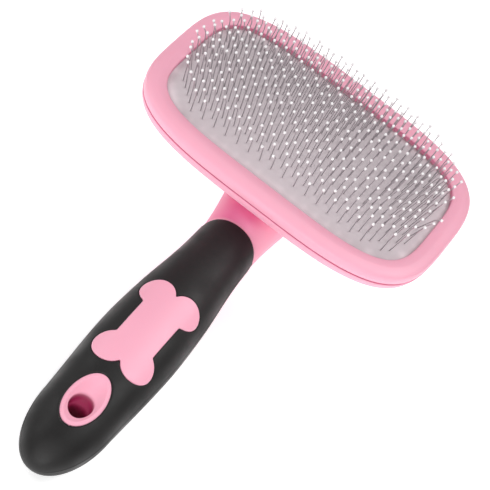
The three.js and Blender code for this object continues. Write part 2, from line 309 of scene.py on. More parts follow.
def smooth_step(low: float, high: float, value: Array) -> Array:
    """0 below low, 1 above high and the cubic 3t² - 2t³ between them."""
    t = np.clip((value - low) / (high - low), 0, 1)
    return t * t * (3 - 2 * t)


def circle_angles(count: int, first: float = 0.0) -> Array:
    """Angles evenly round a circle; the first one is a share of a step from zero."""
    return 2 * np.pi * (np.arange(count) + first) / count


def unit_circle(count: int) -> Array:
    """Points evenly round a circle of radius one, as (count, 2)."""
    angle = circle_angles(count)
    return np.column_stack([np.cos(angle), np.sin(angle)])


def squared_circle(angle: Array, roundness: float) -> tuple[Array, Array]:
    """X and y of |x|^n + |y|^n = 1 at each angle, with points on the axes exactly there."""
    cosine, sine = np.cos(angle), np.sin(angle)
    cosine[np.abs(cosine) < TINY] = 0
    sine[np.abs(sine) < TINY] = 0
    power = 2 / roundness
    return np.sign(cosine) * np.abs(cosine) ** power, np.sign(sine) * np.abs(sine) ** power


def rounded_outline(half_x: float, half_y: float, roundness: float, count: int) -> Array:
    """Points of |x / half_x|^n + |y / half_y|^n = 1 for the roundness n, as (count, 2)."""
    x, y = squared_circle(circle_angles(count), roundness)
    return np.stack([half_x * x, half_y * y], 1)


def level(flat: Array, z: float) -> Array:
    """Points (n, 2) of a plan, all at one height, as (n, 3)."""
    return np.column_stack([flat, np.full(len(flat), z)])


def toward(start: Array, end: Array, distance: float) -> Array:
    """Points (n, 2) moved a distance from start towards end."""
    step = end - start
    return start + step / np.linalg.norm(step, axis=1)[:, None] * distance


def even_loop(points: Array, count: int) -> Array:
    """The closed line through points, cut into count equal lengths.

    Args:
        points: (n, 2) corners of the loop, without the first one repeated.
        count: how many points to return.

    Returns:
        An array (count, 2).
    """
    closed = np.vstack([points, points[:1]])
    run = np.concatenate([[0], np.cumsum(np.linalg.norm(np.diff(closed, axis=0), axis=1))])
    at = np.arange(count) / count * run[-1]
    return np.stack([np.interp(at, run, closed[:, 0]), np.interp(at, run, closed[:, 1])], 1)


def arc(centre: tuple[float, float], radius: float, start: float, end: float, count: int) -> Array:
    """Points of a circle's arc between two angles in degrees, as an array (count, 2)."""
    angle = np.radians(np.linspace(start, end, count))
    return np.stack([centre[0] + radius * np.cos(angle), centre[1] + radius * np.sin(angle)], 1)


# ---- Meshes ----


@dataclass
class Placed:
    """Where the head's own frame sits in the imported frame, found from the rim's box."""

    head: HeadSize
    origin: Vector = field(init=False)

    def __post_init__(self) -> None:
        """Finds the origin: the rim's box ends at the crest and at the head's far side."""
        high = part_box("front_bezel")[1]
        head = self.head
        self.origin = Vector((0.0, high.y - head.half_width * MM, high.z - head.crest_z * MM))

    def metres(self, points: Array) -> Array:
        """Points of the head's frame in millimetres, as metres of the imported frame."""
        return points * MM + np.array(self.origin)


def make_mesh(
    name: str,
    points: Array,
    faces: Sequence[Array],
    placed: Placed,
    material: bpy.types.Material,
    attributes: dict[str, Array] | None = None,
) -> bpy.types.Object:
    """A smooth-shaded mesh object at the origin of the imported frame.

    Args:
        name: the piece's name.
        points: (n, 3) places in millimetres in the head's frame.
        faces: arrays (m, 3) or (m, 4) of point numbers.
        placed: where the head's frame is.
        material: the piece's finish.
        attributes: values for each point, by name, for the material to read.

    Returns:
        The linked object.
    """
    sides = np.concatenate([np.full(len(f), f.shape[1]) for f in faces])
    corners = np.concatenate([f.ravel() for f in faces]).astype(np.int32)
    mesh = bpy.data.meshes.new(name)
    mesh.vertices.add(len(points))
    mesh.vertices.foreach_set("co", placed.metres(points).astype(np.float32).ravel())
    mesh.loops.add(len(corners))
    mesh.loops.foreach_set("vertex_index", corners)
    mesh.polygons.add(len(sides))
    starts = np.concatenate([[0], np.cumsum(sides)[:-1]]).astype(np.int32)
    mesh.polygons.foreach_set("loop_start", starts)
    mesh.update(calc_edges=True)
    mesh.polygons.foreach_set("use_smooth", np.ones(len(sides), bool))
    for key, values in (attributes or {}).items():
        mesh.attributes.new(key, "FLOAT", "POINT").data.foreach_set("value", values.astype(np.float32))
    mesh.materials.append(material)
    mesh.validate()
    piece = bpy.data.objects.new(name, mesh)
    bpy.context.scene.collection.objects.link(piece)
    return piece


def ring_faces(rings: int, around: int, closed: bool) -> Array:
    """Quads between neighbouring rings of equal point counts.

    Args:
        rings: how many rings the points have, one after another.
        around: points in a ring.
        closed: whether the last ring joins the first.

    Returns:
        An array (m, 4) of point numbers.
    """
    rows = rings if closed else rings - 1
    ring, step = np.meshgrid(np.arange(rows), np.arange(around), indexing="ij")
    ring, step = ring.ravel(), step.ravel()
    further, onward = (ring + 1) % rings, (step + 1) % around
    quads = [ring * around + step, ring * around + onward]
    quads += [further * around + onward, further * around + step]
    return np.stack(quads, 1)


def fan_faces(pole: int, first: int, around: int, turned: bool) -> Array:
    """Triangles from a pole to a ring that starts at point number first."""
    step = np.arange(around)
    a, b = first + step, first + (step + 1) % around
    pair = (b, a) if turned else (a, b)
    return np.stack([np.full(around, pole), *pair], 1)


def outward(points: Array, faces: list[Array]) -> list[Array]:
    """The faces, all turned round if the closed skin they make has its inside out.

    The sign is that of the sum of every triangle's volume with the middle of the points.
    """
    middle = points.mean(0)
    total = 0.0
    for group in faces:
        a, b, c = (points[group[:, k]] - middle for k in (0, 1, 2))
        total += float(np.einsum("ij,ij->", a, np.cross(b, c)))
        if group.shape[1] == 4:
            d = points[group[:, 3]] - middle
            total += float(np.einsum("ij,ij->", a, np.cross(c, d)))
    return faces if total > 0 else [group[:, ::-1] for group in faces]


def capped_skin(rings: Array, folded_end: bool = False) -> tuple[Array, list[Array]]:
    """A closed skin through rings, each end drawn in to a pole.

    Args:
        rings: (ring, point, 3) places.
        folded_end: the last ring lies folded flat on itself, so it needs no pole.

    Returns:
        The points and the faces, with normals outward.
    """
    count, around = rings.shape[:2]
    poles = [rings[0].mean(0)[None]] + ([] if folded_end else [rings[-1].mean(0)[None]])
    points = np.vstack([rings.reshape(-1, 3), *poles])
    faces = [ring_faces(count, around, closed=False)]
    faces.append(fan_faces(count * around, 0, around, turned=True))
    if not folded_end:
        faces.append(fan_faces(count * around + 1, (count - 1) * around, around, turned=False))
    return points, outward(points, faces)


def looped_skin(rings: Array) -> tuple[Array, list[Array]]:
    """A closed skin through rings whose last joins the first, with normals outward."""
    count, around = rings.shape[:2]
    points = rings.reshape(-1, 3)
    return points, outward(points, [ring_faces(count, around, closed=True)])


# ---- Materials ----


def linear(code: str) -> tuple[float, float, float, float]:
    """A colour written as sRGB hex, in linear light."""
    share = [int(code[i : i + 2], 16) / 255 for i in (0, 2, 4)]
    light = [c / 12.92 if c <= 0.04045 else ((c + 0.055) / 1.055) ** 2.4 for c in share]
    return (*light, 1.0)


def add_node(tree: Tree, kind: str, inputs: dict[str, Any] | None = None, **props: Any) -> bpy.types.Node:
    """Adds a node, sets its properties, and fills its inputs with values or with other sockets.

    Args:
        tree: the material's node tree.
        kind: the node's type name.
        inputs: socket name, to a value or to an output socket to link.
        **props: the node's own properties.

    Returns:
        The node.
    """
    node = tree.nodes.new(kind)
    for key, value in props.items():
        setattr(node, key, value)
    for key, value in (inputs or {}).items():
        if isinstance(value, bpy.types.NodeSocket):
            tree.links.new(value, node.inputs[key])
        else:
            node.inputs[key].default_value = value
    return node


@dataclass(frozen=True)
class Finish:
    """A surface finish: one Principled shader with a fine grain in millimetres.

    The shade attribute, where a piece has one, takes the colour towards shade_colour.
    """

    name: str
    colour: str
    roughness: float
    ior: float = 1.5
    metallic: float = 0.0
    subsurface: float = 0.0
    grain_mm: float = 0.6
    grain_height_mm: float = 0.0
    mottle: float = 0.0
    mottle_mm: float = 12.0
    coat: float = 0.0
    glow: float = 0.0
    shade_attribute: str = ""
    shade_colour: str = "000000"

    def build(self) -> bpy.types.Material:
        """Makes the material from the finish.

        Returns:
            The material, its patterns on Object coordinates, which are metres here.
        """
        material = bpy.data.materials.new(self.name)
        material.use_nodes = True
        tree = material.node_tree
        tree.nodes.clear()
        shader = add_node(tree, "ShaderNodeBsdfPrincipled", {
            "Base Color": linear(self.colour),
            "Roughness": self.roughness,
            "IOR": self.ior,
            "Metallic": self.metallic,
        })
        if self.subsurface:
            shader.inputs["Subsurface Weight"].default_value = self.subsurface
            shader.inputs["Subsurface Radius"].default_value = (1.0, 0.45, 0.5)
            shader.inputs["Subsurface Scale"].default_value = 1.2 * MM
        if self.coat:
            shader.inputs["Coat Weight"].default_value = self.coat
            shader.inputs["Coat Roughness"].default_value = 0.15
        if self.glow:
            shader.inputs["Emission Color"].default_value = linear(self.colour)
            shader.inputs["Emission Strength"].default_value = self.glow
        place = add_node(tree, "ShaderNodeTexCoord").outputs["Object"]
        if self.mottle:
            self._add_mottle(tree, shader, place)
        if self.shade_attribute:
            self._add_shade(tree, shader)
        if self.grain_height_mm:
            self._add_grain(tree, shader, place)
        add_node(tree, "ShaderNodeOutputMaterial", {"Surface": shader.outputs["BSDF"]})
        return material

    def _noise(self, tree: Tree, place: Socket, size_mm: float, detail: float) -> Socket:
        """A noise texture whose features are about size_mm across."""
        inputs = {"Vector": place, "Scale": 1 / (size_mm * MM), "Detail": detail}
        return add_node(tree, "ShaderNodeTexNoise", inputs).outputs["Fac"]

    def _add_mottle(self, tree: Tree, shader: bpy.types.Node, place: Socket) -> None:
        """Varies roughness a little across the piece, as moulded surfaces do."""
        cloud = self._noise(tree, place, self.mottle_mm, 3.0)
        spread = add_node(tree, "ShaderNodeMapRange", {
            "Value": cloud,
            "From Min": 0.3,
            "From Max": 0.7,
            "To Min": max(self.roughness - self.mottle, 0.02),
            "To Max": min(self.roughness + self.mottle, 1.0),
        })
        tree.links.new(spread.outputs["Result"], shader.inputs["Roughness"])

    def _add_shade(self, tree: Tree, shader: bpy.types.Node) -> None:
        """Mixes the colour towards the shade colour by the piece's attribute."""
        share = add_node(tree, "ShaderNodeAttribute", attribute_name=self.shade_attribute)
        mix = add_node(tree, "ShaderNodeMix", data_type="RGBA")
        tree.links.new(share.outputs["Fac"], mix.inputs["Factor"])
        mix.inputs["A"].default_value = linear(self.colour)
        mix.inputs["B"].default_value = linear(self.shade_colour)
        tree.links.new(mix.outputs["Result"], shader.inputs["Base Color"])

    def _add_grain(self, tree: Tree, shader: bpy.types.Node, place: Socket) -> None:
        """A fine bump of the given height and grain."""
        bump = add_node(tree, "ShaderNodeBump", {
            "Height": self._noise(tree, place, self.grain_mm, 2.0),
            "Distance": self.grain_height_mm * MM,
            "Strength": 1.0,
        })
        tree.links.new(bump.outputs["Normal"], shader.inputs["Normal"])


@dataclass
class Finishes:
    """Every material of the brush, made once."""

    pink: bpy.types.Material = field(init=False)
    eyelet: bpy.types.Material = field(init=False)
    grip: bpy.types.Material = field(init=False)
    pad: bpy.types.Material = field(init=False)
    wire: bpy.types.Material = field(init=False)
    bead: bpy.types.Material = field(init=False)
    foam: bpy.types.Material = field(init=False)

    def __post_init__(self) -> None:
        """Makes the seven materials."""
        # Moulded ABS: an even satin pink that lets a little light in, with a faint 0.5 mm mould
        # grain and gloss that drifts over 12 mm. A deeper pink is painted shade: in the seam,
        # under the lip and on the neck under the head.
        self.pink = Finish(
            "moulded_pink_abs", "F3ABC0", 0.42, ior=1.53, subsurface=0.12,
            grain_mm=0.5, grain_height_mm=0.004, mottle=0.05,
            shade_attribute="painted_shade", shade_colour="DE6A96",
        ).build()
        # The same ABS, more matt, so that the dish shows its form by soft shading. A strong deep
        # pink is painted shade down the hole. Grain 0.5 mm.
        self.eyelet = Finish(
            "moulded_pink_abs_eyelet", "F3ABC0", 0.68, ior=1.53, subsurface=0.12,
            grain_mm=0.5, grain_height_mm=0.004,
            shade_attribute="hole_painted_shade", shade_colour="98104A",
        ).build()
        # Soft-touch thermoplastic rubber: near black, with wide dull highlights broken by a fine
        # pebbling. The grain is 0.4 mm, coarser than a real one, and the gloss drifts over 9 mm.
        self.grip = Finish(
            "black_grip_tpr", "0F0D0D", 0.52, ior=1.44,
            grain_mm=0.4, grain_height_mm=0.03, mottle=0.1, mottle_mm=9.0,
        ).build()
        # Pad rubber: chalky and pale, with no clear highlight; greyer among the pins, which keep
        # light off it. Grain 0.35 mm, coarser than the powdery real one.
        self.pad = Finish(
            "grey_pad_rubber", "E9DDE1", 0.7, grain_mm=0.35, grain_height_mm=0.01, mottle=0.06,
            shade_attribute="pin_shade", shade_colour="C4B9BD",
        ).build()
        # Drawn steel wire: a bright line along each pin. Too thin for a pattern.
        self.wire = Finish("drawn_steel_wire", "CCC8CB", 0.34, metallic=1.0).build()
        # Dipped resin bead: white with a small wet-looking glint. Too small for a pattern.
        self.bead = Finish("white_resin_bead", "F4F1F2", 0.25, coat=0.3).build()
        # Open-cell foam: quite matt, with pores of 0.8 mm.
        self.foam = Finish("open_cell_foam", "E6E2D8", 0.95, grain_mm=0.8, grain_height_mm=0.2).build()


# ---- Head ----


@dataclass
class Head:
    """The head's two mouldings: the front rim and the back tray with its neck."""

    size: HeadSize
    handle: HandleSize
    placed: Placed
    finishes: Finishes

    def outline(self, inset: float, z: float) -> Array:
        """The head's outline drawn in by inset, at height z, as (points, 3)."""
        size = self.size
        half_x, half_y = size.half_length - inset, size.half_width - inset
        return level(rounded_outline(half_x, half_y, size.roundness, size.points), z)

    def window(self, z: float, grown: float = 0.0) -> Array:
        """The rim's inner edge at height z, grown outwards by a little, as (points, 3)."""
        size = self.size
        half_x, half_y = size.window_half_length + grown, size.window_half_width + grown
        return level(rounded_outline(half_x, half_y, size.window_roundness, size.points), z)

    def rim(self, share: float, z: float) -> Array:
        """A ring on the rim's top: share 0 is the head's outline, 1 the window's edge."""
        return self.outline(0, z) * (1 - share) + self.window(z) * share

    def rim_height(self, share: float) -> float:
        """A squarish quarter ellipse mixed with a chamfer up to the crest, then a quarter cosine down."""
        size = self.size
        if share < size.crest_place:
            climbed = share / size.crest_place
            round_rise = (1 - (1 - climbed) ** size.rim_squareness) ** (1 / size.rim_squareness)
            foot = min(share / size.chamfer_foot, 1) * size.chamfer_foot_rise
            straight_rise = min(foot + (1 - size.chamfer_foot_rise) * climbed, 1)
            mixed = round_rise * (1 - size.rim_chamfer) + straight_rise * size.rim_chamfer
            return size.outline_z + (size.crest_z - size.outline_z) * mixed
        fall = (share - size.crest_place) / (1 - size.crest_place)
        return size.lip_z + (size.crest_z - size.lip_z) * math.cos(math.pi / 2 * fall)

    def build_rim(self) -> bpy.types.Object:
        """The front rim as one closed skin, its lip rounded over into the window.

        Painted shade deepens the pink on the seam's three rings and where the lip turns under.
        """
        size = self.size
        seam = size.seam_z + size.seam_gap / 2
        quarter = np.linspace(0, np.pi / 2, size.climb_rings + 1)[1:]
        climbs = size.crest_place * (1 - np.cos(quarter))
        falls = np.linspace(size.crest_place, size.fall_end, size.fall_rings + 1)[1:]
        rings = [self.outline(inset, seam + rise) for inset, rise in size.rim_edge]
        rings += [self.outline(*size.rim_side), self.outline(0, size.outline_z)]
        rings += [self.rim(share, self.rim_height(share)) for share in (*climbs, *falls)]
        for turn in np.radians([20, 45, 70, 90]):
            height = size.lip_z - size.lip_edge * (1 - math.cos(turn))
            rings.append(self.window(height, size.lip_edge * (1 - math.sin(turn))))
        rings += [self.window(size.lip_under_z), self.outline(size.clamp_inset, size.lip_under_z)]
        rings += [self.outline(size.clamp_inset, size.skirt_z), self.outline(size.skirt_inset, size.skirt_z)]
        rings.append(self.outline(size.skirt_inset, seam))
        points, faces = looped_skin(np.array(rings))
        # Painted shade: a deeper pink on the seam's rings and on the lip's turn into the window.
        painted_shades = np.zeros(len(rings))
        painted_shades[[0, 1, -1]] = size.seam_painted_shade[1]
        painted_shades[-8:-5] = size.lip_painted_shade
        painted_shade_values = {"painted_shade": np.repeat(painted_shades, size.points)}
        piece = make_mesh("front_rim", points, faces, self.placed, self.finishes.pink, painted_shade_values)
        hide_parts("front_bezel")
        return piece

    def build_tray(self) -> bpy.types.Object:
        """The back tray: a rounded bowl with a flat panel, its wall and floor closed on the inside."""
        size = self.size
        seam = size.seam_z - size.seam_gap / 2
        outside = [(inset, seam + rise) for inset, rise in size.tray_edge] + list(size.tray_outside)
        inside = [*size.tray_inside, (size.tray_wall, seam)]
        outer = [self.outline(inset, z) for inset, z in reversed(outside)]
        inner = [self.outline(inset, z) for inset, z in reversed(inside)]
        points, faces = capped_skin(np.array(outer + inner))
        # Painted shade: a deeper pink on the tray's two rings at the seam.
        painted_shades = np.zeros(len(outer + inner))
        painted_shades[len(outer) - 2 : len(outer)] = size.seam_painted_shade
        painted_shade_values = {"painted_shade": np.append(np.repeat(painted_shades, size.points), [0.0, 0.0])}
        return make_mesh("back_tray", points, faces, self.placed, self.finishes.pink, painted_shade_values)

    def neck_painted_shade(self, stations: Array, x: Array, sine: Array) -> Array:
        """Share of painted shade, a deeper pink, on the neck's upper face under the head.

        It starts just clear of the collar and fades towards both sides, more so to the right.

        Args:
            stations: (rings, 1) places along the neck.
            x: (rings, points) places across it.
            sine: (points,) heights in the unit section.

        Returns:
            The shares, as (rings, points).
        """
        handle = self.handle
        start, full = handle.painted_shade_start
        clear = smooth_step(handle.collar_y + start, handle.collar_y + full, stations)
        right = 1 - handle.painted_shade_right_loss * smooth_step(*handle.painted_shade_right, x)
        left = 1 - handle.painted_shade_left_loss * smooth_step(*handle.painted_shade_left, x)
        return clear * right * left * smooth_step(*handle.painted_shade_upper, sine)

    def build_neck(self) -> bpy.types.Object:
        """The neck: rounded sections that leave the collar and climb into the back of the tray."""
        handle = self.handle
        shown = np.linspace(handle.collar_y + handle.neck_start, handle.neck_end_y, handle.neck_rings)
        stations = np.append(handle.collar_y - handle.neck_sunk, shown)[:, None]
        cosine, sine = squared_circle(circle_angles(handle.neck_points), handle.roundness)
        lean = np.tan(np.radians(along(handle.neck_tilt, stations)))
        height = along(handle.neck_half_height, stations) * sine
        x = along(handle.neck_half_width, stations) * cosine
        z = along(handle.neck_midline, stations) + height
        points, faces = capped_skin(np.stack([x, stations - height * lean, z], 2))
        # Painted shade on the neck's upper face, where the head shades it.
        painted_shade_values = {"painted_shade": np.append(self.neck_painted_shade(stations, x, sine), [0.0, 0.0])}
        return make_mesh("back_neck", points, faces, self.placed, self.finishes.pink, painted_shade_values)

    def build(self) -> list[bpy.types.Object]:
        """Builds the rim, the tray and the neck, and lets them ride on the handle's body."""
        rim, tray, neck = self.build_rim(), self.build_tray(), self.build_neck()
        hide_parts("back_shell")
        for piece in (rim, tray, neck):
            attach(piece, Body.HANDLE.value)
        return [rim, tray, neck]


# ---- Pad and pins ----


@dataclass
class PinField:
    """Where the pins stand on the crowned pad, and how each of them leans."""

    pins: PinSize
    pad: PadSize

    def top(self, x: Array, y: Array) -> Array:
        """Height of the pad's crown: its border, plus a swell that is a parabola both ways."""
        across = np.clip(1 - (x / self.pad.crown_half_length) ** 2, 0, None)
        along_y = np.clip(1 - (y / self.pad.crown_half_width) ** 2, 0, None)
        return self.pad.edge_z + self.pad.crown * across * along_y

    def square(self, x: Array, y: Array) -> Array:
        """Unit vectors square to the crown's surface, as (n, 3)."""
        step = 0.01
        slope_x = (self.top(x - step, y) - self.top(x + step, y)) / (2 * step)
        slope_y = (self.top(x, y - step) - self.top(x, y + step)) / (2 * step)
        normal = np.stack([slope_x, slope_y, np.ones_like(slope_x)], 1)
        return normal / np.linalg.norm(normal, axis=1)[:, None]

    def rows(self) -> list[Array]:
        """The pins' feet row by row, as arrays (n, 2), staggered inside a rounded field."""
        pins = self.pins
        half = (pins.row_count - 1) * pins.row_pitch / 2
        middle = pins.first_row_y + half
        found = []
        for row in range(pins.row_count):
            y = pins.first_row_y + row * pins.row_pitch
            reach = abs((y - middle) / (half + pins.row_pitch)) ** pins.field_roundness
            half_reach = pins.field_half_length * (1 - reach) ** (1 / pins.field_roundness)
            columns = np.arange(-pins.half_columns, pins.half_columns + 1)
            x = (columns + pins.stagger_start + (row % 2) / 2) * pins.pitch
            x = x[np.abs(x) <= half_reach]
            found.append(np.column_stack([x, np.full(len(x), y)]))
        return found


@dataclass
class Cushion:
    """The grey rubber pad with a dimple round each pin, and the foam block under it."""

    head: HeadSize
    pins: PinField
    placed: Placed
    finishes: Finishes

    def nearest_pin(self, places: Array) -> Array:
        """Distance from each place (n, 2) to the nearest pin's foot, in blocks to save memory."""
        feet = np.vstack(self.pins.rows())
        blocks = np.array_split(places, 24)
        return np.concatenate([np.sqrt(((b[:, None] - feet) ** 2).sum(2).min(1)) for b in blocks])

    def build_pad(self) -> bpy.types.Object:
        """The pad as a closed slab: a dimpled crown over a flat underside."""
        size, head = self.pins.pad, self.head
        shares = np.linspace(1, size.last_ring, size.rings) ** size.ring_spread
        half_x, half_y = head.half_length - size.inset, head.half_width - size.inset
        outline = rounded_outline(half_x, half_y, head.roundness, size.points)
        flat = outline[None] * shares[:, None, None]
        distance = self.nearest_pin(flat.reshape(-1, 2)).reshape(flat.shape[:2])
        dimple = np.exp(-((distance / size.dimple_radius) ** 2))
        top = np.dstack([flat, self.pins.top(flat[..., 0], flat[..., 1]) - size.dimple_depth * dimple])
        bottom = level(outline, size.edge_z - size.thickness)[None]
        floor = bottom * [size.floor_ring, size.floor_ring, 1]
        points, faces = capped_skin(np.concatenate([floor, bottom, top]))
        # Painted shade: greyer over the pin field and in each pin's dimple.
        painted_shade_values = size.field_painted_shade * (1 - smooth_step(*size.field_fade, distance)) + size.dimple_painted_shade * dimple
        shade = np.concatenate([np.zeros(2 * size.points), painted_shade_values.ravel(), [0.0, size.field_painted_shade]])
        piece = make_mesh("pad_rubber", points, faces, self.placed, self.finishes.pad, {"pin_shade": shade})
        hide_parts("pad_face", "pad_backing")
        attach(piece, Body.PAD.value)
        return piece

    def build_foam(self) -> bpy.types.Object:
        """The foam block in the sealed space, drawn at rest from the foam part's box; the real foam flattens
        as the pad is pressed, this block does not.
        """
        size = self.pins.pad
        low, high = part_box("foam_cushion")
        bottom = (low.z - self.placed.origin.z) / MM
        top = (high.z - self.placed.origin.z) / MM
        edge = size.foam_edge
        profile = [(size.foam_low_inset, bottom), (size.foam_low_inset - edge, bottom + edge)]
        profile += [(size.foam_high_inset - edge, top - edge), (size.foam_high_inset, top)]
        rings = []
        for inset, z in profile:
            half_x, half_y = self.head.half_length - inset, self.head.half_width - inset
            rings.append(level(rounded_outline(half_x, half_y, self.head.roundness, size.foam_points), z))
        points, faces = capped_skin(np.array(rings))
        piece = make_mesh("foam_block", points, faces, self.placed, self.finishes.foam)
        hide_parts("foam_cushion")
        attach(piece, Body.HANDLE.value)
        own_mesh(piece)
        return piece

    def build(self) -> list[bpy.types.Object]:
        """Builds the pad and the foam block."""
        return [self.build_pad(), self.build_foam()]


@dataclass
class Pins:
    """The wires and their beads, one object of each for every row."""

    field: PinField
    placed: Placed
    finishes: Finishes
    seed: int = 7

    def paths(self, feet: Array, random: np.random.Generator) -> Array:
        """The centre lines of a row's wires.

        Each wire starts a little under the pad, stands square to the crown, and bends back towards
        the handle through a short round knee. Small seeded turns make the wires differ, more so at
        the field's ends, where real ones get bent.

        Args:
            feet: (n, 2) places of the wires on the pad.
            random: the seeded source of the small differences.

        Returns:
            An array (n, stations, 3).
        """
        pins = self.field.pins
        x, y = feet.T
        count = len(x)
        base = np.column_stack([x, y, self.field.top(x, y)])
        axis = self.field.square(x, y)
        spread = pins.lean_spread + pins.end_lean_spread * smooth_step(
            *pins.end_starts, np.abs(x) / pins.field_half_length
        )
        axis += spread[:, None] * random.normal(size=(count, 3)) * [1, 1, 0]
        axis /= np.linalg.norm(axis, axis=1)[:, None]
        knee = np.radians(pins.knee_degrees + random.normal(scale=pins.knee_spread, size=count))
        side = np.radians(random.normal(scale=pins.side_spread, size=count))
        cosine, sine = np.cos(knee), np.sin(knee)
        bent = np.column_stack([
            axis[:, 0] + np.sin(side) * sine,
            cosine * axis[:, 1] - sine * axis[:, 2],
            sine * axis[:, 1] + cosine * axis[:, 2],
        ])
        bent /= np.linalg.norm(bent, axis=1)[:, None]
        shank = pins.shank + random.normal(scale=pins.shank_spread, size=count)
        tip = pins.tip + random.normal(scale=pins.tip_spread, size=count)
        corner = base + axis * shank[:, None]
        before = corner - axis * (pins.knee_length / 2)
        after = corner + bent * (pins.knee_length / 2)
        middle = (before + after) / 4 + corner / 2
        end = corner + bent * tip[:, None]
        start = base - axis * pins.sunk
        return np.stack([start, before, middle, after, end], 1)

    def tubes(self, paths: Array, radius: float, sides: int) -> tuple[Array, list[Array]]:
        """Round tubes of a few sides along many centre lines at once.

        Args:
            paths: (n, stations, 3) centre lines.
            radius: of the tubes.
            sides: points round a tube.

        Returns:
            The points and the faces, with flat ends.
        """
        count, stations = paths.shape[:2]
        run = np.gradient(paths, axis=1)
        run /= np.linalg.norm(run, axis=2)[..., None]
        across = np.cross(run, [1.0, 0.0, 0.0])
        across /= np.linalg.norm(across, axis=2)[..., None]
        other = np.cross(run, across)
        angle = circle_angles(sides)
        ring = across[:, :, None] * np.cos(angle)[:, None] + other[:, :, None] * np.sin(angle)[:, None]
        points = (paths[:, :, None] + radius * ring).reshape(-1, 3)
        quads = ring_faces(stations, sides, closed=False)
        step = stations * sides
        starts = np.arange(count)[:, None, None] * step
        skin = (quads[None] + starts).reshape(-1, 4)
        start_cap = np.arange(sides)[::-1][None] + np.arange(count)[:, None] * step
        end_cap = np.arange(sides)[None] + step - sides + np.arange(count)[:, None] * step
        return points, [skin, start_cap, end_cap]

    def beads(self, centres: Array, radius: float) -> tuple[Array, list[Array]]:
        """Small balls of three rings and two poles round many centres at once."""
        around = self.field.pins.bead_sides
        circle = unit_circle(around)
        rings = [level(math.cos(turn) * circle, math.sin(turn)) for turn in np.radians([-45, 0, 45])]
        ball = np.vstack([[[0.0, 0.0, -1.0]], *rings, [[0.0, 0.0, 1.0]]])
        points = (centres[:, None] + radius * ball).reshape(-1, 3)
        quads = ring_faces(3, around, closed=False) + 1
        low = fan_faces(0, 1, around, turned=True)
        high = fan_faces(len(ball) - 1, 1 + 2 * around, around, turned=False)
        starts = np.arange(len(centres))[:, None, None] * len(ball)
        return points, [(group[None] + starts).reshape(-1, group.shape[1]) for group in (quads, low, high)]

    def build(self) -> list[bpy.types.Object]:
        """Builds every row's wires and beads, and lets them ride on the pad."""
        pins = self.field.pins
        random = np.random.default_rng(self.seed)
        pieces = []
        for index, feet in enumerate(self.field.rows(), start=1):
            paths = self.paths(feet, random)
            skin = self.tubes(paths, pins.wire_radius, pins.wire_sides)
            wires = make_mesh(f"wires_row_{index:02d}", *skin, self.placed, self.finishes.wire)
            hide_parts(f"pin_row_{index:02d}")
            skin = self.beads(paths[:, -1], pins.bead_radius)
            beads = make_mesh(f"beads_row_{index:02d}", *skin, self.placed, self.finishes.bead)
            for piece in (wires, beads):
                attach(piece, Body.PAD.value)
            pieces += [wires, beads]
        return pieces


# ---- Handle ----


